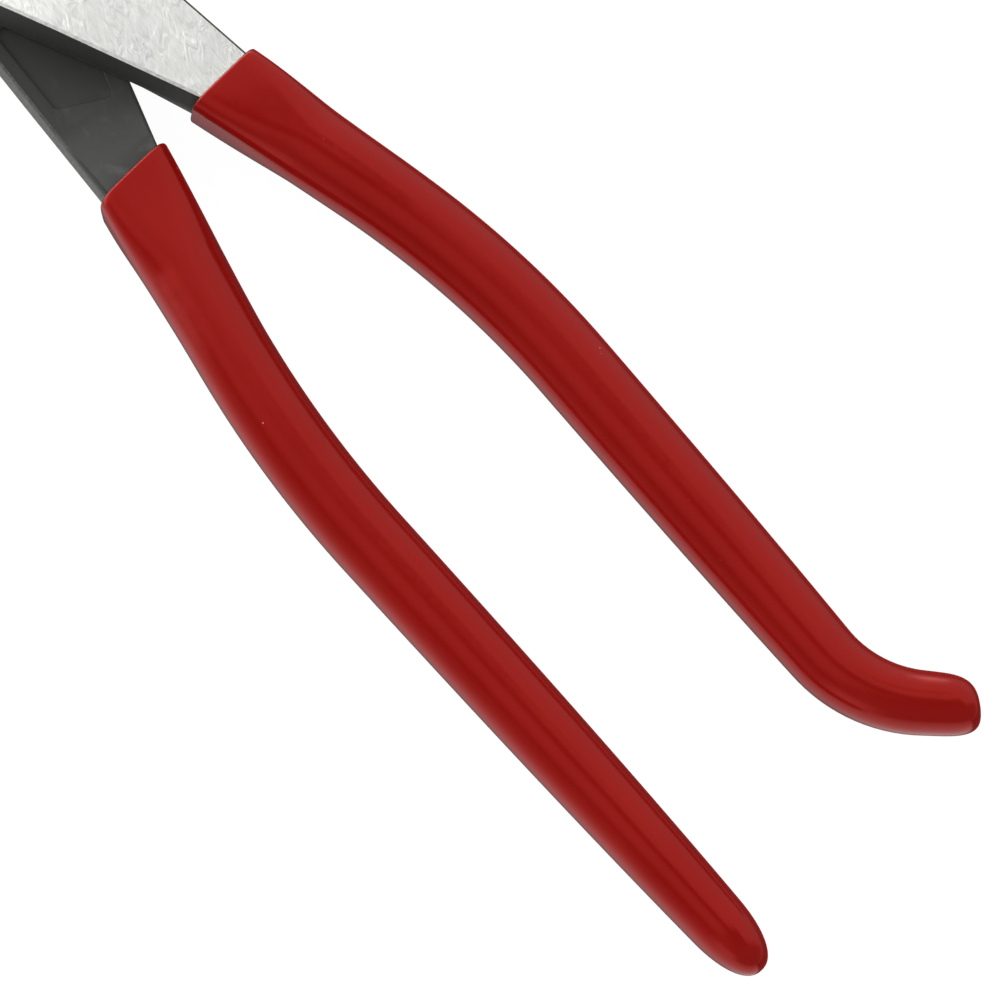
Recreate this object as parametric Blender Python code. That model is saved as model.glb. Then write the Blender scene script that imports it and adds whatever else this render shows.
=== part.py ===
"""Ironworker's diagonal cutting pliers: angled head, riveted lap joint and two dipped grips.

The pliers lie flat and closed. The rivet's axis is +Z through the origin, the handles run
towards +X and the head points towards -X. Each half is modelled as the upper one, with its
handle on the +Y side, and the straight half is then turned over about the X axis.
"""

import math

import bmesh
import bpy
from mathutils import Matrix, Vector

MM = 0.001

# Joint
JOINT_HEIGHT = 16.0 * MM
MID_HEIGHT = JOINT_HEIGHT / 2
JOINT_RADIUS = 14.5 * MM
LAP_GAP = 0.2 * MM
SHOULDER_GAP = 0.3 * MM
SHOULDER_START = 9.0 * MM
LAP_UNDERSIDE = MID_HEIGHT + LAP_GAP / 2
LAP_STEP = 3.0 * MM

# Rivet
RIVET_RADIUS = 4.0 * MM
RIVET_HEAD_RADIUS = 6.0 * MM
RIVET_HEAD_DEPTH = 2.0 * MM
RIVET_EDGE = 0.3 * MM
RIVET_CLEARANCE = 0.1 * MM
RIVET_SEGMENTS = 40

# Head and knives
HEAD_LEAN = math.radians(10.0)
JAW_REACH = 32.0 * MM
HEAD_HALF_WIDTH = 14.8 * MM
HEAD_WIDTH = 2 * HEAD_HALF_WIDTH
TRIM_WIDTH = 19.2 * MM
NOSE_HALF_WIDTH = 4.6 * MM
NOSE_FILLET = 2.4 * MM
JAW_SIDE_RADIUS = 48.0 * MM
JAW_GAP = 0.2 * MM
HEAD_TAPER_START = 6.0 * MM
HEAD_TAPER_DEPTH = 2.1 * MM
KNIFE_LAND = 0.4 * MM
KNIFE_START = 13.0 * MM
KNIFE_RUN_OUT = 2.2 * MM
TOP_BEVEL_WIDTH = 5.4 * MM
BACK_BEVEL_WIDTH = 4.4 * MM
EDGE_CHAMFER = 0.4 * MM

# Forging draft: a tang's inner side leans in above and below the parting line
PARTING_HEIGHT = 9.2 * MM
DRAFT = math.tan(math.radians(5.0))

# Tangs, seen from the side: the outer face slopes down, and the underside drops past the crotch
TANG_LENGTH = 47.0 * MM
FACE_SLOPE_END = 43.0 * MM
FACE_SLOPE_START = 18.0 * MM
CROTCH = 33.5 * MM
FACE_DROP = 1.5 * MM
UNDERSIDE_DROP = 3.1 * MM
FACE_EASING = (3.0 * MM, 0.12 * MM)
UNDERSIDE_EASING = (1.0 * MM, 0.15 * MM)
TANG_ROOT_FILLET = 14.0 * MM
POCKET_DEPTH = 0.5 * MM
POCKET_CORNERS = ((12.0, -5.6), (32.6, 1.6), (28.4, 9.9), (12.0, 9.2))
POCKET_FILLET = 0.9 * MM

# Grips: both end on one dip line across the tangs
DIP_HEADING = math.radians(6.5)
MOUTH_LENGTH = 34.0 * MM
MOUTH_SQUARENESS = 2.0
SKEW_LENGTH = 16.0 * MM
GRIP_HALF_HEIGHT = 5.75 * MM
GRIP_TAPER = 1.9 * MM
GRIP_THINNING = 0.85 * MM
GRIP_SQUARENESS = 2.5
GRIP_WALL = 1.1 * MM
GRIP_LIP = 0.7 * MM
LIP_LENGTH = 4.0 * MM
LIP_BLEND = 8.0 * MM
LIP_SQUARENESS = 7.0
GRIP_GAP = 0.2 * MM
END_WALL = 3.0 * MM
END_RINGS = 5

# Bars inside the grips
BAR_SQUARENESS = 2.6
BAR_INSET = 3.0 * MM
BAR_OVERLAP = 2.0 * MM
BAR_NECK = 0.5 * MM
BAR_NECK_LENGTH = 8.0 * MM
BAR_DESCENT = 38.0 * MM

# Mesh detail
RING_POINTS = 20
STATION_SPACING = 8.0 * MM
STATION_TURN = math.radians(4.0)
STATION_CLEARANCE = 2.0 * MM
CUT_MARGIN = 1.0 * MM

# The two halves. Offsets are each tang edge's distance from the rivet's axis, headings are
# turned from +X towards the handle's own side, and legs are (length, turn) pairs along the bar.
HOOK = {
    "name": "hook",
    "lean": HEAD_LEAN,
    "dip_heading": DIP_HEADING,
    "inner_edge": (11.85 * MM, math.radians(24.5)),
    "outer_edge": (11.8 * MM, math.radians(7.5)),
    "dip_distance": 44.5 * MM,
    "mouth_offset": -0.07 * MM,
    "mouth_flare": 0.5 * MM,
    "bar_heading": math.radians(14.3),
    "legs": (
        (27.0 * MM, 0.0),
        (44.0 * MM, math.radians(-15.7)),
        (58.3 * MM, 0.0),
        (17.0 * MM, math.radians(46.5)),
        (8.8 * MM, 0.0),
    ),
    "grip_half_width": 6.38 * MM,
    "tip_length": 7.0 * MM,
    "tip_power": 2.9,
    "tip_skew": -0.2,
}
STRAIGHT = {
    "name": "straight",
    "lean": -HEAD_LEAN,
    "dip_heading": -DIP_HEADING,
    "inner_edge": (11.55 * MM, math.radians(17.3)),
    "outer_edge": (10.8 * MM, math.radians(3.0)),
    "dip_distance": 43.95 * MM,
    "mouth_offset": -0.3 * MM,
    "mouth_flare": 0.9 * MM,
    "bar_heading": math.radians(11.4),
    "legs": (
        (30.55 * MM, 0.0),
        (40.0 * MM, math.radians(-12.3)),
        (86.7 * MM, 0.0),
    ),
    "grip_half_width": 6.1 * MM,
    "tip_length": 10.0 * MM,
    "tip_power": 2.6,
    "tip_skew": 0.0,
}
TURNED_OVER = Matrix.Translation((0.0, 0.0, JOINT_HEIGHT)) @ Matrix.Rotation(math.pi, 4, "X")


# ---------------------------------------------------------------- plane geometry

def direction(heading):
    return Vector((math.cos(heading), math.sin(heading)))


def arc(centre, radius, start, end, steps):
    """Points along an arc, both ends included."""
    points = []
    for i in range(steps + 1):
        points.append(centre + radius * direction(start + (end - start) * i / steps))
    return points


def bulged(first, last, radius, steps):
    """Points from first to last along an arc that bulges to the right of that way."""
    chord = last - first
    right = Vector((chord.y, -chord.x)).normalized()
    depth = math.sqrt(radius ** 2 - (chord.length / 2) ** 2)
    centre = (first + last) / 2 - right * depth
    start = math.atan2(first.y - centre.y, first.x - centre.x)
    end = math.atan2(last.y - centre.y, last.x - centre.x)
    if end < start:
        end += 2 * math.pi
    return arc(centre, radius, start, end, steps)


def rounded_corner(before, corner, after, radius, steps):
    """An arc that rounds off a convex corner of an outline that turns left."""
    back = (before - corner).normalized()
    ahead = (after - corner).normalized()
    half_angle = back.angle(ahead) / 2
    centre = corner + (back + ahead).normalized() * radius / math.sin(half_angle)
    reach = radius / math.tan(half_angle)
    first = corner + back * reach - centre
    last = corner + ahead * reach - centre
    start = math.atan2(first.y, first.x)
    end = math.atan2(last.y, last.x)
    if end < start:
        end += 2 * math.pi
    return arc(centre, radius, start, end, steps)


def edge_crossing(edge, side, plane_normal, plane_distance):
    """Where a tang edge on the given side of the axis meets a plane across the tang."""
    offset, heading = edge
    along = direction(heading)
    foot = Vector((-along.y, along.x)) * offset * side
    travel = (plane_distance - foot.dot(plane_normal)) / along.dot(plane_normal)
    return foot + along * travel


def head_frame(half):
    """Unit vectors towards the jaw tips and towards this half's own jaw."""
    ahead = direction(math.pi + half["lean"])
    return ahead, Vector((-ahead.y, ahead.x))


# ---------------------------------------------------------------- meshes and modifiers

def make_object(name, mesh_builder, half=None):
    mesh = bpy.data.meshes.new(name)
    bm = bmesh.new()
    mesh_builder(bm)
    bmesh.ops.recalc_face_normals(bm, faces=bm.faces)
    bm.to_mesh(mesh)
    bm.free()
    obj = bpy.data.objects.new(name, mesh)
    bpy.context.scene.collection.objects.link(obj)
    if half is STRAIGHT:
        obj.matrix_world = TURNED_OVER
    return obj


def make_cutter(name, mesh_builder, half):
    cutter = make_object(name, mesh_builder, half)
    cutter.hide_render = True
    cutter.display_type = "WIRE"
    return cutter


def prism(bm, outline, low, high, axis="Z"):
    """Extrude a closed outline along Z, or an XZ outline along Y."""
    if axis == "Z":
        bottom = [bm.verts.new((p.x, p.y, low)) for p in outline]
        step = Vector((0.0, 0.0, high - low))
    else:
        bottom = [bm.verts.new((p.x, low, p.y)) for p in outline]
        step = Vector((0.0, high - low, 0.0))
    face = bm.faces.new(bottom)
    grown = bmesh.ops.extrude_face_region(bm, geom=[face])
    top = [item for item in grown["geom"] if isinstance(item, bmesh.types.BMVert)]
    bmesh.ops.translate(bm, verts=top, vec=step)


def bridge(bm, ring_a, ring_b):
    count = len(ring_a)
    for i in range(count):
        j = (i + 1) % count
        bm.faces.new((ring_a[i], ring_a[j], ring_b[j], ring_b[i]))


def boolean(target, cutter, operation):
    modifier = target.modifiers.new(cutter.name, "BOOLEAN")
    modifier.operation = operation
    modifier.object = cutter
    modifier.solver = "EXACT"


def material(name, colour, metallic, roughness):
    mat = bpy.data.materials.new(name)
    mat.use_nodes = True
    shader = mat.node_tree.nodes["Principled BSDF"]
    shader.inputs["Base Color"].default_value = (*colour, 1.0)
    shader.inputs["Metallic"].default_value = metallic
    shader.inputs["Roughness"].default_value = roughness
    return mat


# ---------------------------------------------------------------- forged halves

def outer_edge_points(half):
    """The tang's outer edge from under the grip to its fillet into the round joint."""
    offset, heading = half["outer_edge"]
    end = edge_crossing(half["outer_edge"], 1, Vector((1.0, 0.0)), TANG_LENGTH)
    run = math.sqrt((JOINT_RADIUS + TANG_ROOT_FILLET) ** 2 - (offset + TANG_ROOT_FILLET) ** 2)
    side = heading + math.pi / 2
    centre = direction(heading) * run + direction(side) * (offset + TANG_ROOT_FILLET)
    towards_axis = math.atan2(-centre.y, -centre.x)
    towards_edge = side - math.pi
    if towards_axis > towards_edge:
        towards_axis -= 2 * math.pi
    return [end] + arc(centre, TANG_ROOT_FILLET, towards_edge, towards_axis, 5)


def half_outline(half):
    """Plan of one half: tang, round lap and jaw, wide on the side that the inner edge trims."""
    ahead, across = head_frame(half)
    jaw_line = JAW_GAP / 2
    points = outer_edge_points(half)
    joint_start = math.atan2(points[-1].y, points[-1].x)
    joint_end = math.atan2(ahead.y, ahead.x) + math.asin(jaw_line / JOINT_RADIUS)
    if joint_end < joint_start:
        joint_end += 2 * math.pi
    points += arc(Vector((0.0, 0.0)), JOINT_RADIUS, joint_start, joint_end, 18)[1:]
    tip = ahead * JAW_REACH + across * jaw_line
    nose = ahead * JAW_REACH + across * NOSE_HALF_WIDTH
    shoulder = ahead * HEAD_TAPER_START + across * HEAD_HALF_WIDTH
    points.append(tip)
    points += rounded_corner(tip, nose, shoulder, NOSE_FILLET, 5)
    points += bulged(points[-1], shoulder, JAW_SIDE_RADIUS, 8)[1:]
    points.append(across * TRIM_WIDTH - ahead * HEAD_HALF_WIDTH)
    points.append(Vector((TANG_LENGTH, -HEAD_WIDTH)))
    return points


def build_blank(bm, half):
    """The half's plan, trimmed at its inner edge by the two drafted faces."""
    prism(bm, half_outline(half), -CUT_MARGIN, JOINT_HEIGHT + CUT_MARGIN)
    offset, heading = half["inner_edge"]
    for lean in (DRAFT, -DRAFT):
        outward = Vector((math.sin(heading), -math.cos(heading), 0.0))
        foot = outward * offset + Vector((0.0, 0.0, PARTING_HEIGHT))
        normal = (outward + Vector((0.0, 0.0, lean))).normalized()
        everything = bm.verts[:] + bm.edges[:] + bm.faces[:]
        cut = bmesh.ops.bisect_plane(
            bm, geom=everything, plane_co=foot, plane_no=normal, clear_outer=True, dist=1e-7
        )
        rim = [item for item in cut["geom_cut"] if isinstance(item, bmesh.types.BMEdge)]
        bmesh.ops.holes_fill(bm, edges=rim, sides=0)


def side_profile():
    """Outline in X and Z that the blank is cut to."""
    tip = -JAW_REACH - CUT_MARGIN
    beyond = TANG_LENGTH + CUT_MARGIN
    tang_underside = LAP_UNDERSIDE - UNDERSIDE_DROP
    face_run, face_fall = FACE_EASING
    underside_run, underside_fall = UNDERSIDE_EASING
    return [
        Vector((tip, HEAD_TAPER_DEPTH)),
        Vector((-HEAD_TAPER_START, 0.0)),
        Vector((-LAP_STEP, 0.0)),
        Vector((-LAP_STEP, LAP_UNDERSIDE)),
        Vector((CROTCH - underside_run, LAP_UNDERSIDE)),
        Vector((CROTCH + underside_run, LAP_UNDERSIDE - underside_fall)),
        Vector((FACE_SLOPE_END - underside_run, tang_underside + underside_fall)),
        Vector((beyond, tang_underside)),
        Vector((beyond, JOINT_HEIGHT - FACE_DROP - face_fall)),
        Vector((FACE_SLOPE_END, JOINT_HEIGHT - FACE_DROP)),
        Vector((FACE_SLOPE_START + face_run, JOINT_HEIGHT - face_fall)),
        Vector((FACE_SLOPE_START - face_run, JOINT_HEIGHT)),
        Vector((-HEAD_TAPER_START, JOINT_HEIGHT)),
        Vector((tip, JOINT_HEIGHT - HEAD_TAPER_DEPTH)),
    ]


def lap_space(half):
    """Plan of the space under the lap that the other half's round joint turns in."""
    ahead, across = head_frame(half)
    radius = JOINT_RADIUS + SHOULDER_GAP
    spread = math.acos(SHOULDER_START / radius)
    facing = math.atan2(ahead.y, ahead.x)
    points = arc(Vector((0.0, 0.0)), radius, facing - spread, facing + spread, 18)
    width = 2 * JAW_REACH
    points.append(ahead * SHOULDER_START + across * width)
    points.append(Vector((LAP_STEP, -width)))
    points.append(Vector((LAP_STEP, width)))
    points.append(ahead * SHOULDER_START - across * width)
    return points


def build_knife_cutter(bm, half, bevel_width, face_height):
    """A wedge along the jaw line, with a slanted start where the grinding runs out."""
    ahead, across = head_frame(half)
    land_height = MID_HEIGHT + math.copysign(KNIFE_LAND / 2, face_height - MID_HEIGHT)
    rise = (face_height - land_height) / bevel_width
    high = land_height + rise * (bevel_width + CUT_MARGIN)
    line = JAW_GAP / 2
    rings = []
    for travel, slant in ((KNIFE_START, KNIFE_RUN_OUT), (JAW_REACH + CUT_MARGIN, 0.0)):
        ring = []
        for offset, height, lag in (
            (line - CUT_MARGIN, land_height - rise * CUT_MARGIN, slant),
            (line + bevel_width + CUT_MARGIN, high, 0.0),
            (line - CUT_MARGIN, high, 0.0),
        ):
            point = ahead * (travel + lag) + across * offset
            ring.append(bm.verts.new((point.x, point.y, height)))
        rings.append(ring)
    bridge(bm, rings[0], rings[1])
    bm.faces.new(rings[0])
    bm.faces.new(rings[1])


def pocket_outline():
    """The shallow pocket forged into the tang's inward face, with rounded corners."""
    corners = [Vector(corner) * MM for corner in POCKET_CORNERS]
    points = []
    for i, corner in enumerate(corners):
        before = corners[i - 1]
        after = corners[(i + 1) % len(corners)]
        points += rounded_corner(before, corner, after, POCKET_FILLET, 3)
    return points


def turned(bm, profile):
    """A closed body of revolution about Z from (radius, height) pairs, bottom to top."""
    rings = []
    for radius, height in profile:
        ring = []
        for i in range(RIVET_SEGMENTS):
            spot = direction(2 * math.pi * i / RIVET_SEGMENTS) * radius
            ring.append(bm.verts.new((spot.x, spot.y, height)))
        rings.append(ring)
    for lower, upper in zip(rings, rings[1:]):
        bridge(bm, lower, upper)
    bm.faces.new(rings[0])
    bm.faces.new(rings[-1])


def build_rivet(bm):
    turned(bm, [
        (RIVET_HEAD_RADIUS - RIVET_EDGE, 0.0),
        (RIVET_HEAD_RADIUS, RIVET_EDGE),
        (RIVET_RADIUS, RIVET_HEAD_DEPTH),
        (RIVET_RADIUS, JOINT_HEIGHT - RIVET_HEAD_DEPTH),
        (RIVET_HEAD_RADIUS, JOINT_HEIGHT - RIVET_EDGE),
        (RIVET_HEAD_RADIUS - RIVET_EDGE, JOINT_HEIGHT),
    ])


def build_rivet_hole(bm):
    shank = RIVET_RADIUS + RIVET_CLEARANCE
    head = RIVET_HEAD_RADIUS + RIVET_CLEARANCE
    turned(bm, [
        (head, -CUT_MARGIN),
        (head, RIVET_EDGE),
        (shank, RIVET_HEAD_DEPTH),
        (shank, JOINT_HEIGHT - RIVET_HEAD_DEPTH),
        (head, JOINT_HEIGHT - RIVET_EDGE),
        (head, JOINT_HEIGHT + CUT_MARGIN),
    ])


# ---------------------------------------------------------------- bars and grips

def mouth_centre(half):
    """The middle of the grip on the dip line, offset inward from the tang's own middle."""
    normal = direction(half["dip_heading"])
    inner = edge_crossing(half["inner_edge"], -1, normal, half["dip_distance"])
    outer = edge_crossing(half["outer_edge"], 1, normal, half["dip_distance"])
    inward = (inner - outer).normalized()
    return (inner + outer) / 2 + inward * half["mouth_offset"]


def path_length(half):
    return sum(length for length, turn in half["legs"])


def along_path(half, distance):
    """Point and heading on the bar's centre line; a negative distance runs back up the tang."""
    spot = mouth_centre(half)
    heading = half["bar_heading"]
    for i, (length, turn) in enumerate(half["legs"]):
        last = i == len(half["legs"]) - 1
        travel = distance if last else min(distance, length)
        if turn:
            swept = turn * travel / length
            radius = length / turn
            side = direction(heading + math.pi / 2) * radius
            spot = spot + side - direction(heading + swept + math.pi / 2) * radius
            heading += swept
        else:
            spot = spot + direction(heading) * travel
        distance -= travel
        if distance <= 0.0:
            break
    return spot, heading


def ease(value):
    value = min(max(value, 0.0), 1.0)
    return value * value * (3.0 - 2.0 * value)


def centre_height(distance):
    """Height of the bar's centre: high in the tang, and at mid height along the handle."""
    tang = (JOINT_HEIGHT - FACE_DROP + LAP_UNDERSIDE - UNDERSIDE_DROP) / 2
    return tang + (MID_HEIGHT - tang) * ease(distance / BAR_DESCENT)


def grip_size(half, distance):
    """Half width, half height and squareness of the grip's section."""
    share = distance / path_length(half)
    mouth = 1.0 - ease(distance / MOUTH_LENGTH)
    half_width = half["grip_half_width"] - GRIP_TAPER * share ** 4 + half["mouth_flare"] * mouth
    half_height = GRIP_HALF_HEIGHT - GRIP_THINNING * share ** 4
    return half_width, half_height, GRIP_SQUARENESS + MOUTH_SQUARENESS * mouth


def section(half, distance, half_width, half_height, power, skew=0.0):
    """One ring of points across the path; skew shears it onto the dip line."""
    spot, heading = along_path(half, distance)
    along = direction(heading)
    side = Vector((-along.y, along.x))
    ring = []
    for i in range(RING_POINTS):
        angle = 2 * math.pi * (i + 0.5) / RING_POINTS
        cosine = math.cos(angle)
        sine = math.sin(angle)
        across = half_width * math.copysign(abs(cosine) ** (2 / power), cosine)
        up = half_height * math.copysign(abs(sine) ** (2 / power), sine)
        point = spot + side * across + along * across * skew
        ring.append((point.x, point.y, centre_height(distance) + up))
    return ring


def stations(half, start, end):
    """Distances along the path, close together only where the bar bends."""
    result = [start]
    travelled = 0.0
    for length, turn in half["legs"]:
        steps = max(math.ceil(length / STATION_SPACING), math.ceil(abs(turn) / STATION_TURN))
        for i in range(1, steps + 1):
            spot = travelled + length * i / steps
            if start + STATION_CLEARANCE < spot < end - STATION_CLEARANCE:
                result.append(spot)
        travelled += length
    return result + [end]


def mouth_skew(half, distance):
    """Shear that lays the first rings along the dip line and fades out along the grip."""
    tilt = math.tan(half["bar_heading"] - half["dip_heading"])
    return tilt * (1.0 - ease(distance / SKEW_LENGTH))


def build_bar(bm, half):
    """The forged bar inside the grip, from within the tang to a blunt end."""
    end = path_length(half) - END_WALL - BAR_INSET
    rings = []
    for distance in stations(half, -BAR_OVERLAP, end):
        half_width, half_height, power = grip_size(half, max(distance, 0.0))
        neck = BAR_NECK * (1.0 - ease(distance / BAR_NECK_LENGTH))
        narrow = GRIP_WALL + GRIP_GAP + neck
        size = (half_width - narrow, half_height - narrow)
        ring = section(half, distance, *size, BAR_SQUARENESS)
        rings.append([bm.verts.new(point) for point in ring])
    for first, second in zip(rings, rings[1:]):
        bridge(bm, first, second)
    bm.faces.new(rings[0])
    bm.faces.new(rings[-1])


def build_grip(bm, half):
    """A dipped sleeve: outer skin, straight-cut mouth and a blind cavity round the bar."""
    length = path_length(half)
    tip = half["tip_length"]
    outer = []
    for distance in stations(half, 0.0, length - tip):
        size = grip_size(half, distance)
        outer.append(section(half, distance, *size, mouth_skew(half, distance)))
    for i in range(1, END_RINGS + 1):
        angle = math.pi / 2 * i / (END_RINGS + 1)
        reach = math.sin(angle) ** (2 / half["tip_power"])
        shrink = math.cos(angle) ** (2 / half["tip_power"])
        distance = length - tip + tip * reach
        half_width, half_height, power = grip_size(half, distance)
        size = (half_width * shrink, half_height * shrink)
        outer.append(section(half, distance, *size, power, half["tip_skew"] * reach))
    inner = []
    for distance in stations(half, 0.0, length - END_WALL):
        half_width, half_height, power = grip_size(half, distance)
        lip = 1.0 - ease((distance - LIP_LENGTH) / LIP_BLEND)
        wall = GRIP_WALL + (GRIP_LIP - GRIP_WALL) * lip
        power = BAR_SQUARENESS + LIP_SQUARENESS * lip
        size = (half_width - wall, half_height - wall)
        inner.append(section(half, distance, *size, power, mouth_skew(half, distance)))
    skin = [[bm.verts.new(point) for point in ring] for ring in outer]
    lining = [[bm.verts.new(point) for point in ring] for ring in inner]
    for rings in (skin, lining):
        for first, second in zip(rings, rings[1:]):
            bridge(bm, first, second)
        bm.faces.new(rings[-1])
    bridge(bm, skin[0], lining[0])


# ---------------------------------------------------------------- assembly

def make_half(half, steel):
    name = half["name"] + "_half"
    obj = make_object(name, lambda bm: build_blank(bm, half), half)

    def cutter(suffix, builder):
        return make_cutter(name + suffix, builder, half)

    def add_profile(bm):
        prism(bm, side_profile(), -2 * HEAD_WIDTH, 2 * HEAD_WIDTH, "Y")

    profile = cutter("_profile", add_profile)
    boolean(obj, profile, "INTERSECT")
    bevel = obj.modifiers.new("edge_chamfer", "BEVEL")
    bevel.width = EDGE_CHAMFER
    bevel.segments = 1
    bevel.limit_method = "ANGLE"
    bevel.angle_limit = math.radians(60.0)
    lap = cutter("_lap", lambda bm: prism(bm, lap_space(half), -CUT_MARGIN, LAP_UNDERSIDE))
    boolean(obj, lap, "DIFFERENCE")
    for suffix, width, height in (
        ("_knife_face", TOP_BEVEL_WIDTH, JOINT_HEIGHT),
        ("_knife_back", BACK_BEVEL_WIDTH, 0.0),
    ):
        wedge = cutter(suffix, lambda bm: build_knife_cutter(bm, half, width, height))
        boolean(obj, wedge, "DIFFERENCE")
    floor = LAP_UNDERSIDE + POCKET_DEPTH
    pocket = cutter("_pocket", lambda bm: prism(bm, pocket_outline(), 0.0, floor))
    boolean(obj, pocket, "DIFFERENCE")
    boolean(obj, cutter("_bar", lambda bm: build_bar(bm, half)), "UNION")
    boolean(obj, cutter("_rivet_hole", build_rivet_hole), "DIFFERENCE")
    obj.data.materials.append(steel)
    return obj


def make_grip(half, plastic):
    obj = make_object(half["name"] + "_grip", lambda bm: build_grip(bm, half), half)
    obj.data.materials.append(plastic)
    obj.data.shade_smooth()
    obj.data.set_sharp_from_angle(angle=math.radians(50.0))
    return obj


def main():
    for obj in list(bpy.data.objects):
        bpy.data.objects.remove(obj, do_unlink=True)
    ground_steel = material("ground_steel", (0.62, 0.62, 0.60), 1.0, 0.38)
    forged_steel = material("forged_steel", (0.075, 0.076, 0.074), 0.6, 0.50)
    rivet_steel = material("rivet_steel", (0.50, 0.50, 0.49), 1.0, 0.40)
    red_plastic = material("red_plastic", (0.33, 0.010, 0.008), 0.0, 0.22)
    make_half(HOOK, ground_steel)
    make_half(STRAIGHT, forged_steel)
    make_grip(HOOK, red_plastic)
    make_grip(STRAIGHT, red_plastic)
    rivet = make_object("rivet", build_rivet)
    rivet.data.materials.append(rivet_steel)
    rivet.data.shade_smooth()
    rivet.data.set_sharp_from_angle(angle=math.radians(30.0))


main()
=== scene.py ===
"""Looks of the diagonal cutting pliers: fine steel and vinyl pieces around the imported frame.

Lengths are in metres, in the frame's own axes: the rivet's axis is +Z through the origin, the
handles run towards +X, and the pliers lie on z = 0. Each grip is worked out as on the upper
half, whose handle is on the +Y side, and the straight one is then turned over about the X axis.
"""

import math

import bmesh
import bpy
from mathutils import Matrix, Vector


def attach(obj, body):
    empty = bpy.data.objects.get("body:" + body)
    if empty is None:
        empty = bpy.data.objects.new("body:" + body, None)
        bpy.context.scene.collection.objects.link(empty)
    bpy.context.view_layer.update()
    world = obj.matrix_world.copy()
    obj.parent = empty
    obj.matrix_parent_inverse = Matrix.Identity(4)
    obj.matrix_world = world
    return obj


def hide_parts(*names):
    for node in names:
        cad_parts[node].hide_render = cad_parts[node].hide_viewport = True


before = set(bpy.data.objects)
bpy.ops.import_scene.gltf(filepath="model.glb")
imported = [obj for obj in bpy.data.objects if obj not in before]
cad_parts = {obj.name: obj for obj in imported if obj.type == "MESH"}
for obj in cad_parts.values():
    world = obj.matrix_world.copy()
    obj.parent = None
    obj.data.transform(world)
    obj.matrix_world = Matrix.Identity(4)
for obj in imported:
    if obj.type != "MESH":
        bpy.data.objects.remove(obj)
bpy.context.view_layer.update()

MM = 0.001

# Joint and tangs, as in the frame
JOINT_HEIGHT = 16.0 * MM
MID_HEIGHT = JOINT_HEIGHT / 2
TANG_TOP = 14.5 * MM
TANG_BOTTOM = 5.0 * MM
TANG_MIDDLE = (TANG_TOP + TANG_BOTTOM) / 2
TANG_HALF_HEIGHT = (TANG_TOP - TANG_BOTTOM) / 2
BAR_DESCENT = 38.0 * MM

# Grips: the frame's centre lines, with rounder sections past the mouth and reshaped ends
DIP_HEADING = math.radians(6.5)
MOUTH_LENGTH = 34.0 * MM
MOUTH_SQUARENESS = 2.4
SQUARE_LENGTH = 18.0 * MM
SKEW_LENGTH = 16.0 * MM
GRIP_HALF_HEIGHT = 5.75 * MM
GRIP_TAPER = 1.9 * MM
GRIP_THINNING = 0.85 * MM
GRIP_SQUARENESS = 2.05
GRIP_WALL = 1.1 * MM
TIP_WALL = 0.7 * MM
BAR_SQUARENESS = 2.6
END_WALL = 3.0 * MM

# Fine grip mesh
RING_POINTS = 72
RING_SPACING = 1.2 * MM
TIP_RINGS = 22
LIP_ROUND = 0.55 * MM
LIP_STEPS = 6
LIP_GRIP = 0.03 * MM
LIP_CORNERS = 10.0
LINING_DEPTH = 9.0 * MM
LINING_SPACING = 2.4 * MM

HOOK = {
    "dip_heading": DIP_HEADING,
    "inner_edge": (11.85 * MM, math.radians(24.5)),
    "outer_edge": (11.8 * MM, math.radians(7.5)),
    "dip_distance": 44.5 * MM,
    "mouth_offset": -0.07 * MM,
    "mouth_flare": 0.5 * MM,
    "mouth_lean": 0.16,
    "bar_heading": math.radians(14.3),
    "legs": (
        (27.0 * MM, 0.0),
        (44.0 * MM, math.radians(-15.7)),
        (58.3 * MM, 0.0),
        (17.0 * MM, math.radians(46.5)),
        (8.8 * MM, 0.0),
    ),
    "grip_half_width": 6.38 * MM,
    "tip_length": 7.0 * MM,
    "tip_power": 3.4,
    "tip_skew": -0.2,
    "turned_over": False,
}
STRAIGHT = {
    "dip_heading": -DIP_HEADING,
    "inner_edge": (11.55 * MM, math.radians(17.3)),
    "outer_edge": (10.8 * MM, math.radians(3.0)),
    "dip_distance": 43.95 * MM,
    "mouth_offset": -0.3 * MM,
    "mouth_flare": 0.9 * MM,
    "mouth_lean": 0.0,
    "bar_heading": math.radians(11.4),
    "legs": (
        (30.55 * MM, 0.0),
        (40.0 * MM, math.radians(-12.3)),
        (86.7 * MM, 0.0),
    ),
    "grip_half_width": 6.1 * MM,
    "tip_length": 10.0 * MM,
    "tip_power": 2.35,
    "tip_skew": 0.0,
    "turned_over": True,
}
TURNED_OVER = Matrix.Translation((0.0, 0.0, JOINT_HEIGHT)) @ Matrix.Rotation(math.pi, 4, "X")

# Steel edges
EDGE_ROUND = 0.13 * MM
EDGE_SEGMENTS = 2
EDGE_ANGLE = math.radians(25.0)
SHARP_ANGLE = math.radians(40.0)
FLAT_ANGLE = math.radians(0.3)
WELD_DISTANCE = 0.001 * MM
VISIBLE_STEEL = 46.0 * MM
RIVET_ZONE = 7.0 * MM
KNIFE_ZONE = 0.6 * MM
BRIGHT_FACING = 0.6
FLAT_FACING = 0.9
GROUND, FORGED, ARRIS = range(3)
# Painted light from the floor on the low part of the forged sides that face -Y: its top, fade and
# ragged edge
PAINTED_FLOOR_LIGHT_TOP = 8.5 * MM
PAINTED_FLOOR_LIGHT_FADE = 2.0 * MM
PAINTED_FLOOR_LIGHT_WAVER = 1.5 * MM
# Normal Y range of the forged sides that face -Y, which get painted shade and painted floor light
SIDE_FACING = (-0.4, -0.7)
# Painted shade near the joint: where it starts along X, and where it is full
JOINT_SHADE = (42.0 * MM, 24.0 * MM)
HEAD_LEAN = math.radians(10.0)

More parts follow.
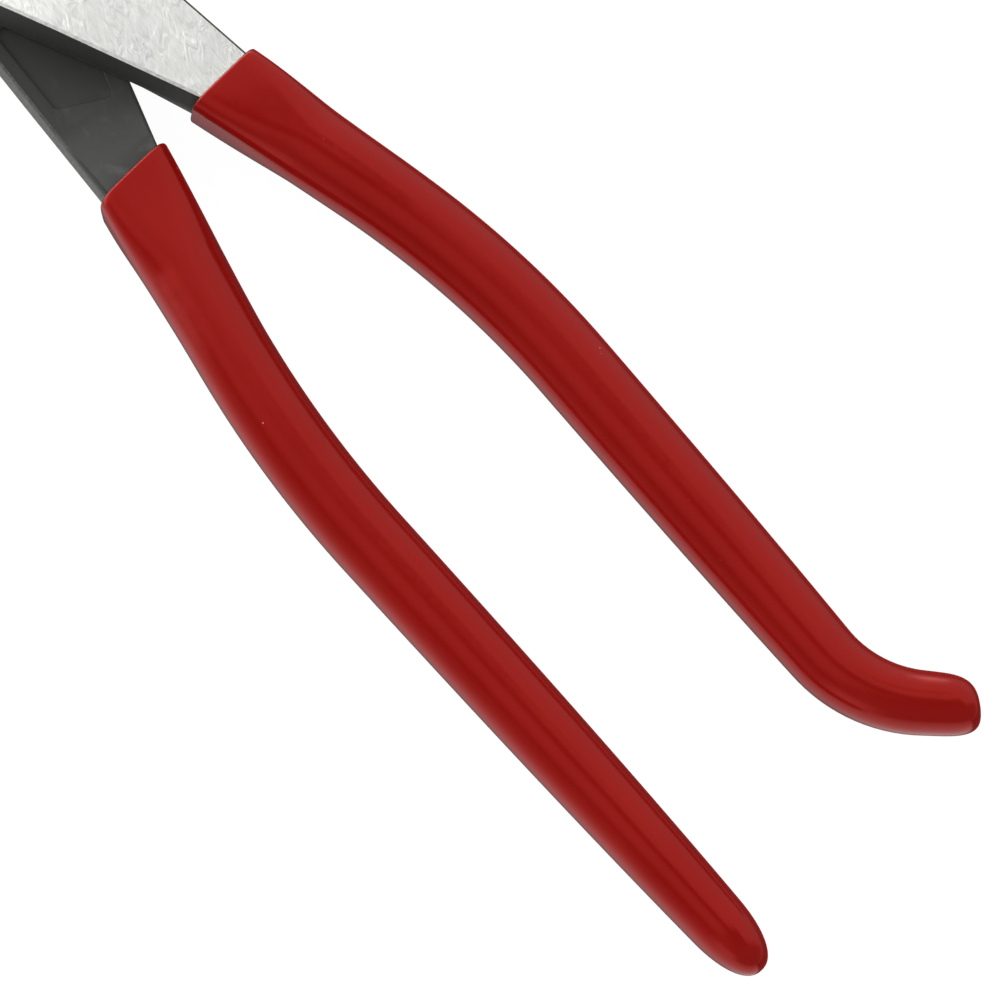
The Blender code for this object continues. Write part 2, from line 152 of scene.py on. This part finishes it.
# Rivet
RIVET_HEAD_RADIUS = 6.0 * MM
RIVET_RADIUS = 4.0 * MM
RIVET_HEAD_DEPTH = 2.0 * MM
RIVET_ROUND = 0.25 * MM
RIVET_SEGMENTS = 128
RIVET_ROUND_STEPS = 4

# Relief of the surfaces
GROUND_RELIEF = 0.16 * MM
ARRIS_RELIEF = 0.1 * MM
FORGED_RELIEF = 0.08 * MM
VINYL_RELIEF = 0.5 * MM

# Colours
STEEL_DULL = (0.66, 0.665, 0.645)
STEEL_POLISHED = (0.76, 0.765, 0.745)
STEEL_CLOUDED = (0.60, 0.60, 0.61)
STEEL_MARKED = (0.32, 0.32, 0.33)
# Chamfer colours: wear nicks, and brighter than the ground face as a painted highlight
ARRIS_NICKS_AND_HIGHLIGHT = (0.80, 0.80, 0.78)
ARRIS_WEAR_AND_HIGHLIGHT = (0.97, 0.97, 0.95)
SCALE_DARK = (0.054, 0.054, 0.0515)
SCALE_LIGHT = (0.062, 0.062, 0.0595)
SCALE_RUBBED = (0.11, 0.11, 0.105)
# Painted shade on the forged steel near the joint
SCALE_JOINT_PAINTED_SHADE = (0.032, 0.032, 0.030)
# Painted shade on the forged sides that face -Y
SCALE_SIDE_PAINTED_SHADE = (0.026, 0.026, 0.024)
# Painted light from the floor, low on the forged sides that face -Y
PAINTED_FLOOR_LIGHT_DARK = (0.085, 0.085, 0.08)
PAINTED_FLOOR_LIGHT_BRIGHT = (0.15, 0.15, 0.145)
VINYL_DEEP = (0.202, 0.0042, 0.0030)
VINYL_LIGHT = (0.214, 0.0050, 0.0037)
VINYL_SPECK = (0.6, 0.3, 0.28)
VINYL_SHEEN = (1.0, 0.14, 0.125, 1.0)
PAPER_GREY = (0.07, 0.07, 0.07, 1.0)

# Floor, just clear of the joint's lower face
FLOOR_GAP = 0.2 * MM
FLOOR_HALF_SIZE = 3.0

# Studio zones: the X of a direction where each one starts, and where it has taken over
MOUTH_ZONE = (-0.20, -0.15)
PAST_TIPS_ZONE = (0.02, 0.22)
HEAD_SIDE_ZONE = (-0.21, -0.29)
HEAD_LIGHT_ZONE = (-0.52, -0.68)
TIP_LIGHT_ZONE = (0.4, 0.6)
BELOW_LIGHT_ZONE = (0.0, 0.4)

# Studio levels
FLOOR_GLOW = 0.96
HEAD_LIGHT = (4.1, 4.1, 4.02)
TIP_LIGHT = (0.25, 0.25, 0.25)
BELOW_LIGHT = (1.1, 1.1, 1.1)
SOFT_LIGHT = (1.0, 1.0, 1.0)
BACKDROP = (0.98, 0.98, 0.98)

# Camera
CAMERA_AZIMUTH = math.radians(49.5)
CAMERA_ELEVATION = math.radians(73.0)
CAMERA_DISTANCE = 0.6
CAMERA_TARGET = Vector((0.1220, 0.00155, 0.008))
CAMERA_LENS = 142.56
CAMERA_CLIP = 10.0 * MM


# ---------------------------------------------------------------- plane geometry

def direction(heading):
    return Vector((math.cos(heading), math.sin(heading)))


def ease(value):
    value = min(max(value, 0.0), 1.0)
    return value * value * (3.0 - 2.0 * value)


def edge_crossing(edge, side, plane_normal, plane_distance):
    """Where a tang edge on the given side of the axis meets a plane across the tang."""
    offset, heading = edge
    along = direction(heading)
    foot = Vector((-along.y, along.x)) * offset * side
    travel = (plane_distance - foot.dot(plane_normal)) / along.dot(plane_normal)
    return foot + along * travel


def tang_at_mouth(half):
    """Where the dip line crosses the tang's inner and outer edges."""
    normal = direction(half["dip_heading"])
    inner = edge_crossing(half["inner_edge"], -1, normal, half["dip_distance"])
    outer = edge_crossing(half["outer_edge"], 1, normal, half["dip_distance"])
    return inner, outer


def path_length(half):
    return sum(length for length, turn in half["legs"])


def along_path(half, distance):
    """Point and heading on the grip's centre line, at a distance from the mouth."""
    inner, outer = tang_at_mouth(half)
    spot = (inner + outer) / 2 + (inner - outer).normalized() * half["mouth_offset"]
    heading = half["bar_heading"]
    for i, (length, turn) in enumerate(half["legs"]):
        last = i == len(half["legs"]) - 1
        travel = distance if last else min(distance, length)
        if turn:
            swept = turn * travel / length
            radius = length / turn
            side = direction(heading + math.pi / 2) * radius
            spot = spot + side - direction(heading + swept + math.pi / 2) * radius
            heading += swept
        else:
            spot = spot + direction(heading) * travel
        distance -= travel
        if distance <= 0.0:
            break
    return spot, heading


def centre_height(distance):
    """Height of the grip's centre: high at the tang, and at mid height along the handle."""
    return TANG_MIDDLE + (MID_HEIGHT - TANG_MIDDLE) * ease(distance / BAR_DESCENT)


def grip_size(half, distance):
    """Half width, half height and squareness of the grip's section."""
    share = distance / path_length(half)
    mouth = 1.0 - ease(distance / MOUTH_LENGTH)
    half_width = half["grip_half_width"] - GRIP_TAPER * share ** 4 + half["mouth_flare"] * mouth
    half_height = GRIP_HALF_HEIGHT - GRIP_THINNING * share ** 4
    squareness = GRIP_SQUARENESS + MOUTH_SQUARENESS * (1.0 - ease(distance / SQUARE_LENGTH))
    return half_width, half_height, squareness


def mouth_skew(half, distance):
    """Shear that lays the first rings along the dip line and fades out along the grip."""
    tilt = math.tan(half["bar_heading"] - half["dip_heading"])
    return tilt * (1.0 - ease(distance / SKEW_LENGTH))


def section(half, distance, size, power, skew=0.0, centre=None):
    """One ring of points across the grip's path."""
    spot, heading = along_path(half, distance)
    if centre is not None:
        spot = centre
    half_width, half_height = size
    lean = half["mouth_lean"] * (1.0 - ease(distance / SKEW_LENGTH))
    along = direction(heading)
    side = Vector((-along.y, along.x))
    ring = []
    for i in range(RING_POINTS):
        angle = 2 * math.pi * (i + 0.5) / RING_POINTS
        cosine = math.cos(angle)
        sine = math.sin(angle)
        across = half_width * math.copysign(abs(cosine) ** (2 / power), cosine)
        up = half_height * math.copysign(abs(sine) ** (2 / power), sine)
        point = spot + side * across + along * (across * skew + (up - half_height) * lean)
        ring.append(Vector((point.x, point.y, centre_height(distance) + up)))
    return ring


# ---------------------------------------------------------------- meshes

def new_piece(name, bm):
    mesh = bpy.data.meshes.new(name)
    bm.to_mesh(mesh)
    bm.free()
    piece = bpy.data.objects.new(name, mesh)
    bpy.context.scene.collection.objects.link(piece)
    return piece


def lofted(name, rings, matrix=None):
    """A closed body through a list of rings, with a fan of faces closing each end."""
    bm = bmesh.new()
    loops = [[bm.verts.new(point) for point in ring] for ring in rings]
    count = len(loops[0])
    for first, second in zip(loops, loops[1:]):
        for i in range(count):
            j = (i + 1) % count
            bm.faces.new((first[i], first[j], second[j], second[i]))
    for loop in (loops[0], loops[-1]):
        pole = bm.verts.new(sum((v.co for v in loop), Vector()) / count)
        for i in range(count):
            bm.faces.new((loop[i], loop[(i + 1) % count], pole))
    if matrix:
        bmesh.ops.transform(bm, matrix=matrix, verts=bm.verts)
    bmesh.ops.recalc_face_normals(bm, faces=bm.faces)
    return new_piece(name, bm)


# ---------------------------------------------------------------- grips

def tip_shrink(half, distance):
    """How much the rounded end narrows the grip at a distance along it."""
    tip = half["tip_length"]
    reach = max(distance - path_length(half) + tip, 0.0) / tip
    return (1.0 - reach ** half["tip_power"]) ** (1.0 / half["tip_power"])


def tip_rings(half):
    """Outer rings over the rounded end, from the pole back to the start of the tip."""
    length = path_length(half)
    tip = half["tip_length"]
    rings = []
    for i in range(TIP_RINGS, 0, -1):
        angle = math.pi / 2 * i / (TIP_RINGS + 0.5)
        reach = math.sin(angle) ** (2 / half["tip_power"])
        shrink = math.cos(angle) ** (2 / half["tip_power"])
        distance = length - tip + tip * reach
        half_width, half_height, power = grip_size(half, distance)
        size = (half_width * shrink, half_height * shrink)
        rings.append(section(half, distance, size, power, half["tip_skew"] * reach))
    return rings


def skin_rings(half):
    """Outer rings from the tip back to where the lip starts to round over."""
    start = path_length(half) - half["tip_length"]
    steps = round((start - LIP_ROUND) / RING_SPACING)
    rings = []
    for i in range(steps):
        distance = start + (LIP_ROUND - start) * i / steps
        half_width, half_height, power = grip_size(half, distance)
        skew = mouth_skew(half, distance)
        rings.append(section(half, distance, (half_width, half_height), power, skew))
    return rings


def lip_rings(half):
    """The rolled lip, from the skin round to the steel that it closes on."""
    rings = []
    for i in range(LIP_STEPS + 1):
        angle = math.pi / 2 * (1.0 - i / LIP_STEPS)
        distance = LIP_ROUND * (1.0 - math.cos(angle))
        inset = LIP_ROUND * (1.0 - math.sin(angle))
        half_width, half_height, power = grip_size(half, distance)
        size = (half_width - inset, half_height - inset)
        rings.append(section(half, distance, size, power, mouth_skew(half, distance)))
    inner, outer = tang_at_mouth(half)
    skew = mouth_skew(half, 0.0)
    half_width = (inner - outer).length / 2 * math.cos(math.atan(skew)) + LIP_GRIP
    size = (half_width, TANG_HALF_HEIGHT + LIP_GRIP)
    rings.append(section(half, 0.0, size, LIP_CORNERS, skew, (inner + outer) / 2))
    return rings


def lining_rings(half):
    """Inner rings round the bar, from past the lip to the blind end."""
    end = path_length(half) - END_WALL
    steps = round((end - LINING_DEPTH) / LINING_SPACING)
    rings = []
    for i in range(steps + 1):
        distance = LINING_DEPTH + (end - LINING_DEPTH) * i / steps
        half_width, half_height, power = grip_size(half, distance)
        shrink = tip_shrink(half, distance)
        size = [
            min(extent - GRIP_WALL, extent * shrink - TIP_WALL)
            for extent in (half_width, half_height)
        ]
        rings.append(section(half, distance, size, BAR_SQUARENESS, mouth_skew(half, distance)))
    return rings


def build_grip(name, half, body, node, vinyl):
    rings = tip_rings(half) + skin_rings(half) + lip_rings(half) + lining_rings(half)
    piece = lofted(name, rings, TURNED_OVER if half["turned_over"] else None)
    piece.data.materials.append(vinyl)
    piece.data.shade_smooth()
    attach(piece, body)
    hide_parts(node)
    return piece


# ---------------------------------------------------------------- steel halves

def is_bevelled(edge):
    """True for the visible sharp edges, apart from the rivet's hole and the cutting edge."""
    if len(edge.link_faces) != 2 or edge.calc_face_angle() < EDGE_ANGLE:
        return False
    ahead = direction(math.pi + HEAD_LEAN)
    for vert in edge.verts:
        flat = vert.co.xy
        if vert.co.x > VISIBLE_STEEL or flat.length < RIVET_ZONE:
            return False
        from_jaw_line = abs(ahead.x * flat.y - ahead.y * flat.x)
        if ahead.dot(flat) > RIVET_ZONE and from_jaw_line < KNIFE_ZONE:
            return False
    return True


def build_half(name, node, body, outward, ground, forged, arris):
    """A copy of the frame's half with rounded edges.

    Its outward face is ground bright, and its chamfers on the handle's inner side are worn steel
    made brighter than the face as a painted highlight.
    """
    bm = bmesh.new()
    bm.from_mesh(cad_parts[node].data)
    bmesh.ops.remove_doubles(bm, verts=bm.verts, dist=WELD_DISTANCE)
    bmesh.ops.dissolve_limit(bm, angle_limit=FLAT_ANGLE, verts=bm.verts, edges=bm.edges)
    for face in bm.faces:
        facing = face.normal.z * outward
        face.material_index = FORGED
        if facing > FLAT_FACING:
            face.material_index = GROUND
        # Chamfers facing -Y get the brighter arris steel, a painted highlight over the wear
        elif facing > BRIGHT_FACING and face.normal.y * outward < 0.0:
            face.material_index = ARRIS
    edges = [edge for edge in bm.edges if is_bevelled(edge)]
    bmesh.ops.bevel(
        bm, geom=edges, offset=EDGE_ROUND, segments=EDGE_SEGMENTS, profile=0.5,
        affect="EDGES", clamp_overlap=True, material=-1,
    )
    piece = new_piece(name, bm)
    piece.data.materials.append(ground)
    piece.data.materials.append(forged)
    piece.data.materials.append(arris)
    piece.data.shade_smooth()
    piece.data.set_sharp_from_angle(angle=SHARP_ANGLE)
    weighted = piece.modifiers.new("weighted_normals", "WEIGHTED_NORMAL")
    weighted.keep_sharp = True
    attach(piece, body)
    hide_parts(node)
    return piece


def build_rivet(ground):
    """The hot-set rivet, ground flush with both faces of the joint."""
    profile = []
    for i in range(RIVET_ROUND_STEPS + 1):
        angle = math.pi / 2 * i / RIVET_ROUND_STEPS
        profile.append((
            RIVET_HEAD_RADIUS - RIVET_ROUND * (1.0 - math.sin(angle)),
            RIVET_ROUND * (1.0 - math.cos(angle)),
        ))
    profile.append((RIVET_RADIUS, RIVET_HEAD_DEPTH))
    profile += [(radius, JOINT_HEIGHT - height) for radius, height in reversed(profile)]
    rings = []
    for radius, height in profile:
        ring = []
        for i in range(RIVET_SEGMENTS):
            spot = direction(2 * math.pi * i / RIVET_SEGMENTS) * radius
            ring.append(Vector((spot.x, spot.y, height)))
        rings.append(ring)
    piece = lofted("rivet_set", rings)
    piece.data.materials.append(ground)
    piece.data.shade_smooth()
    piece.data.set_sharp_from_angle(angle=SHARP_ANGLE)
    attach(piece, "straight_side")
    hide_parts("rivet")
    return piece


# ---------------------------------------------------------------- materials

class Nodes:
    """Adds shader nodes to a tree, with inputs given as values or as other nodes' outputs."""

    def __init__(self, tree):
        self.tree = tree

    def add(self, kind, inputs=None, **settings):
        node = self.tree.nodes.new("ShaderNode" + kind)
        for name, value in settings.items():
            setattr(node, name, value)
        for name, value in (inputs or {}).items():
            self.feed(node.inputs[name], value)
        return node

    def feed(self, socket, value):
        if isinstance(value, bpy.types.NodeSocket):
            self.tree.links.new(value, socket)
        else:
            socket.default_value = value

    def math(self, operation, *values):
        return self.add("Math", dict(enumerate(values)), operation=operation).outputs[0]

    def noise(self, vector, scale, detail=4.0, roughness=0.5, distortion=0.0):
        inputs = {
            "Vector": vector, "Scale": scale, "Detail": detail,
            "Roughness": roughness, "Distortion": distortion,
        }
        return self.add("TexNoise", inputs).outputs["Fac"]

    def remap(self, value, low, high, to_low=0.0, to_high=1.0, smooth=True):
        inputs = {
            "Value": value, "From Min": low, "From Max": high,
            "To Min": to_low, "To Max": to_high,
        }
        kind = "SMOOTHSTEP" if smooth else "LINEAR"
        return self.add("MapRange", inputs, interpolation_type=kind).outputs[0]

    def mix(self, share, first, second):
        node = self.add("Mix", data_type="RGBA")
        self.feed(node.inputs[0], share)
        for socket, value in ((node.inputs[6], first), (node.inputs[7], second)):
            self.feed(socket, value if isinstance(value, bpy.types.NodeSocket) else (*value, 1.0))
        return node.outputs[2]

    def bump(self, height, distance, strength=1.0, normal=None):
        inputs = {"Height": height, "Distance": distance, "Strength": strength}
        if normal is not None:
            inputs["Normal"] = normal
        return self.add("Bump", inputs).outputs[0]


def new_material(name):
    """A Principled material, its shader, a node helper and the piece's own coordinates."""
    mat = bpy.data.materials.new(name)
    mat.use_nodes = True
    shader = mat.node_tree.nodes["Principled BSDF"]
    nodes = Nodes(mat.node_tree)
    place = nodes.add("TexCoord").outputs["Object"]
    return mat, shader, nodes, place


def stretched(nodes, place, heading, scale):
    """Coordinates turned so that X runs along heading, then scaled on each axis."""
    turned = nodes.add("Mapping", {"Vector": place, "Rotation": (0.0, 0.0, -heading)})
    scaled = nodes.add("Mapping", {"Vector": turned.outputs[0], "Scale": scale})
    return scaled.outputs[0]


def ground_steel():
    """Steel ground bright along the tool: wavy grinding marks over shallow ripples."""
    mat, shader, nodes, place = new_material("ground_steel")
    fine = stretched(nodes, place, math.radians(-9.0), (330.0, 1700.0, 1700.0))
    broad = stretched(nodes, place, math.radians(-14.0), (190.0, 560.0, 560.0))
    streaks = nodes.noise(fine, 1.0, 4.0, 0.55, 0.8)
    ripples = nodes.noise(broad, 1.0, 2.5, 0.45, 1.9)
    clouds = nodes.noise(place, 140.0, 3.0, 0.5)
    crest = nodes.math("ABSOLUTE", nodes.math("SUBTRACT", ripples, 0.55))
    thin = nodes.remap(crest, 0.0, 0.018, 1.0, 0.0)
    marks = nodes.math("MULTIPLY", thin, nodes.remap(clouds, 0.35, 0.6))
    colour = nodes.mix(nodes.remap(streaks, 0.3, 0.7), STEEL_DULL, STEEL_POLISHED)
    colour = nodes.mix(nodes.remap(clouds, 0.35, 0.7, 0.0, 0.3), colour, STEEL_CLOUDED)
    colour = nodes.mix(nodes.math("MULTIPLY", marks, 0.4), colour, STEEL_MARKED)
    nodes.feed(shader.inputs["Base Color"], colour)
    shader.inputs["Metallic"].default_value = 1.0
    nodes.feed(shader.inputs["Roughness"], nodes.remap(streaks, 0.25, 0.75, 0.60, 0.48))
    height = nodes.math("MULTIPLY_ADD", streaks, 0.16, ripples)
    nodes.feed(shader.inputs["Normal"], nodes.bump(height, GROUND_RELIEF, 0.9))
    return mat


def arris_steel():
    """The ground face's chamfer: rougher than the face, with wear nicks, and brighter than it as a
    painted highlight.
    """
    mat, shader, nodes, place = new_material("arris_steel")
    nicks = nodes.noise(place, 900.0, 3.0, 0.6)
    colour = nodes.mix(nodes.remap(nicks, 0.35, 0.6), ARRIS_NICKS_AND_HIGHLIGHT, ARRIS_WEAR_AND_HIGHLIGHT)
    nodes.feed(shader.inputs["Base Color"], colour)
    shader.inputs["Metallic"].default_value = 1.0
    shader.inputs["Roughness"].default_value = 0.7
    nodes.feed(shader.inputs["Normal"], nodes.bump(nicks, ARRIS_RELIEF, 0.5))
    return mat


def forged_steel():
    """Dark forging scale: fine grain and shallow dents.

    It has painted shade near the joint and on the sides that face -Y, whose lower part has painted
    light from the floor.
    """
    mat, shader, nodes, place = new_material("forged_steel")
    grain = nodes.noise(place, 1800.0, 4.0, 0.6)
    dents = nodes.noise(place, 260.0, 4.0, 0.5, 0.4)
    clouds = nodes.noise(place, 90.0, 3.0, 0.55)
    colour = nodes.mix(nodes.remap(clouds, 0.35, 0.65), SCALE_DARK, SCALE_LIGHT)
    colour = nodes.mix(nodes.remap(dents, 0.55, 0.75, 0.0, 0.5), colour, SCALE_RUBBED)
    spot = nodes.add("SeparateXYZ", {0: place}).outputs
    # Painted shade: darker towards the joint, where the hook half shades the tang
    joint_painted_shade = nodes.remap(spot["X"], *JOINT_SHADE, 0.0, 0.75)
    colour = nodes.mix(joint_painted_shade, colour, SCALE_JOINT_PAINTED_SHADE)
    facing = nodes.add("SeparateXYZ", {0: nodes.add("TexCoord").outputs["Normal"]}).outputs["Y"]
    # Painted shade on the sides that face -Y
    colour = nodes.mix(nodes.remap(facing, *SIDE_FACING, 0.0, 0.6), colour, SCALE_SIDE_PAINTED_SHADE)
    # Painted light from the floor on the lower part of the sides that face -Y, with a ragged top
    # edge
    edge = nodes.math("MULTIPLY_ADD", dents, PAINTED_FLOOR_LIGHT_WAVER, spot["Z"])
    low = nodes.remap(edge, PAINTED_FLOOR_LIGHT_TOP + PAINTED_FLOOR_LIGHT_FADE, PAINTED_FLOOR_LIGHT_TOP - PAINTED_FLOOR_LIGHT_FADE)
    floor_lit = nodes.math("MULTIPLY", low, nodes.remap(facing, *SIDE_FACING))
    floor_light = nodes.mix(nodes.remap(grain, 0.35, 0.65), PAINTED_FLOOR_LIGHT_DARK, PAINTED_FLOOR_LIGHT_BRIGHT)
    colour = nodes.mix(floor_lit, colour, floor_light)
    nodes.feed(shader.inputs["Base Color"], colour)
    shader.inputs["Specular IOR Level"].default_value = 0.12
    nodes.feed(shader.inputs["Roughness"], nodes.remap(grain, 0.3, 0.7, 0.5, 0.62))
    height = nodes.math("MULTIPLY_ADD", grain, 0.25, dents)
    nodes.feed(shader.inputs["Normal"], nodes.bump(height, FORGED_RELIEF, 0.6))
    return mat


def red_vinyl():
    """Glossy dip-moulded vinyl: slow unevenness, a fine skin and a few specks of dust."""
    mat, shader, nodes, place = new_material("red_vinyl")
    swell = nodes.noise(place, 55.0, 2.0, 0.5)
    skin = nodes.noise(place, 900.0, 3.0, 0.5)
    dust = nodes.remap(nodes.noise(place, 2100.0, 0.0), 0.81, 0.84)
    patches = nodes.remap(nodes.noise(place, 170.0, 0.0), 0.74, 0.78)
    specks = nodes.math("MULTIPLY", dust, patches)
    colour = nodes.mix(nodes.remap(swell, 0.3, 0.7), VINYL_DEEP, VINYL_LIGHT)
    colour = nodes.mix(nodes.math("MULTIPLY", specks, 0.7), colour, VINYL_SPECK)
    nodes.feed(shader.inputs["Base Color"], colour)
    rough = nodes.remap(skin, 0.3, 0.7, 0.14, 0.19)
    nodes.feed(shader.inputs["Roughness"], nodes.math("MULTIPLY_ADD", specks, 0.4, rough))
    shader.inputs["Specular IOR Level"].default_value = 1.0
    shader.inputs["Specular Tint"].default_value = VINYL_SHEEN
    height = nodes.math("MULTIPLY_ADD", skin, 0.012, swell)
    nodes.feed(shader.inputs["Normal"], nodes.bump(height, VINYL_RELIEF, 0.35))
    return mat


# ---------------------------------------------------------------- studio

def build_floor():
    bm = bmesh.new()
    bmesh.ops.create_grid(bm, x_segments=1, y_segments=1, size=FLOOR_HALF_SIZE)
    floor = new_piece("floor", bm)
    floor.location.z = -FLOOR_GAP
    mat, shader = new_material("paper")[:2]
    shader.inputs["Base Color"].default_value = PAPER_GREY
    shader.inputs["Roughness"].default_value = 1.0
    shader.inputs["Specular IOR Level"].default_value = 0.0
    shader.inputs["Emission Color"].default_value = (1.0, 1.0, 1.0, 1.0)
    shader.inputs["Emission Strength"].default_value = FLOOR_GLOW
    floor.data.materials.append(mat)
    floor.visible_glossy = False


def level_ramp(nodes, turn, stops):
    """Brightness by angle round the tool's long axis, from (angle in degrees, level) stops."""
    ramp = nodes.add("ValToRGB", {"Fac": turn})
    elements = ramp.color_ramp.elements
    elements.remove(elements[1])
    for i, (angle, level) in enumerate(stops):
        element = elements[0] if i == 0 else elements.new(0.5 + angle / 360.0)
        element.position = 0.5 + angle / 360.0
        element.color = (level, level, level, 1.0)
    return ramp.outputs["Color"]


def build_world():
    """Soft studio surroundings: a big light beyond the head and dark gaps along the tool.

    Each ramp is the surroundings round the tool's long axis. Which one shows depends on how far
    the direction looks towards the head (-X) or the tips (+X).
    """
    world = bpy.data.worlds.new("studio")
    world.use_nodes = True
    bpy.context.scene.world = world
    nodes = Nodes(world.node_tree)
    look = nodes.add("TexCoord").outputs["Generated"]
    axes = nodes.add("SeparateXYZ", {0: look}).outputs
    tilt = nodes.math("ARCTAN2", nodes.math("MULTIPLY", axes["Y"], -1.0), axes["Z"])
    turn = nodes.math("MULTIPLY_ADD", tilt, 1.0 / (2.0 * math.pi), 0.5)
    far_side = (
        (-180, 0.12), (-165, 0.08), (-114, 0.05), (-105, 0.35), (-95, 0.5),
        (-80, 0.75), (-60, 0.95), (-31, 1.05),
    )
    near_side = (
        (57, 0.06), (66, 0.25), (80, 0.4), (95, 0.7), (110, 0.95), (127, 1.0),
        (149, 0.6), (165, 0.25), (175, 0.15), (180, 0.12),
    )
    tip_side = ((57, 0.3), (66, 0.9), (80, 1.15), (95, 1.0), (127, 0.9), (165, 0.5), (180, 0.12))
    gap = ((-27, 0.95), (-22, 0.05), (6, 0.05))
    short_gap = ((-9, 0.95), (-4, 0.05), (6, 0.05))
    strip = ((10, 0.5), (18, 0.62), (32, 0.6), (42, 0.35), (49, 0.06))
    along_runs = level_ramp(nodes, turn, far_side + gap + strip + near_side)
    mouth_side = level_ramp(nodes, turn, far_side + short_gap + strip + near_side)
    past_tips = level_ramp(nodes, turn, far_side + gap + tip_side)
    head_side = level_ramp(nodes, turn, far_side + strip + near_side)
    colour = nodes.mix(nodes.remap(axes["X"], *MOUTH_ZONE), along_runs, mouth_side)
    colour = nodes.mix(nodes.remap(axes["X"], *PAST_TIPS_ZONE), colour, past_tips)
    colour = nodes.mix(nodes.remap(axes["X"], *HEAD_SIDE_ZONE), colour, head_side)
    above = nodes.remap(axes["Z"], -0.1, 0.1)
    head_end = nodes.math("MULTIPLY", nodes.remap(axes["X"], *HEAD_LIGHT_ZONE), above)
    colour = nodes.mix(head_end, colour, HEAD_LIGHT)
    tip_end = nodes.math("MULTIPLY", nodes.remap(axes["X"], *TIP_LIGHT_ZONE), above)
    colour = nodes.mix(tip_end, colour, TIP_LIGHT)
    low = nodes.remap(axes["Z"], -0.15, -0.3)
    near = nodes.remap(axes["Y"], 0.1, -0.1)
    tipward = nodes.remap(axes["X"], *BELOW_LIGHT_ZONE)
    below = nodes.math("MULTIPLY", nodes.math("MULTIPLY", low, near), tipward)
    colour = nodes.mix(below, colour, BELOW_LIGHT)
    rays = nodes.add("LightPath").outputs
    colour = nodes.mix(rays["Is Diffuse Ray"], colour, SOFT_LIGHT)
    colour = nodes.mix(rays["Is Camera Ray"], colour, BACKDROP)
    nodes.feed(world.node_tree.nodes["Background"].inputs["Color"], colour)


def build_camera():
    heading = direction(CAMERA_AZIMUTH)
    level = math.cos(CAMERA_ELEVATION)
    back = Vector((heading.y * level, -heading.x * level, math.sin(CAMERA_ELEVATION)))
    right = Vector((heading.x, heading.y, 0.0))
    matrix = Matrix((right, back.cross(right), back)).transposed().to_4x4()
    matrix.translation = CAMERA_TARGET + back * CAMERA_DISTANCE
    camera = bpy.data.objects.new("camera", bpy.data.cameras.new("camera"))
    camera.data.lens = CAMERA_LENS
    camera.data.clip_start = CAMERA_CLIP
    camera.matrix_world = matrix
    bpy.context.scene.collection.objects.link(camera)
    bpy.context.scene.camera = camera


def main():
    vinyl = red_vinyl()
    ground = ground_steel()
    forged = forged_steel()
    arris = arris_steel()
    build_half(
        "hook_forging", "hook_half", "hook_side", 1,
        ground, forged, arris,
    )
    build_half(
        "straight_forging", "straight_half", "straight_side", -1,
        ground, forged, arris,
    )
    build_rivet(ground)
    build_grip("hook_sleeve", HOOK, "hook_side", "hook_grip", vinyl)
    build_grip("straight_sleeve", STRAIGHT, "straight_side", "straight_grip", vinyl)
    build_floor()
    build_world()
    build_camera()
    bpy.context.scene.view_settings.view_transform = "Standard"


main()
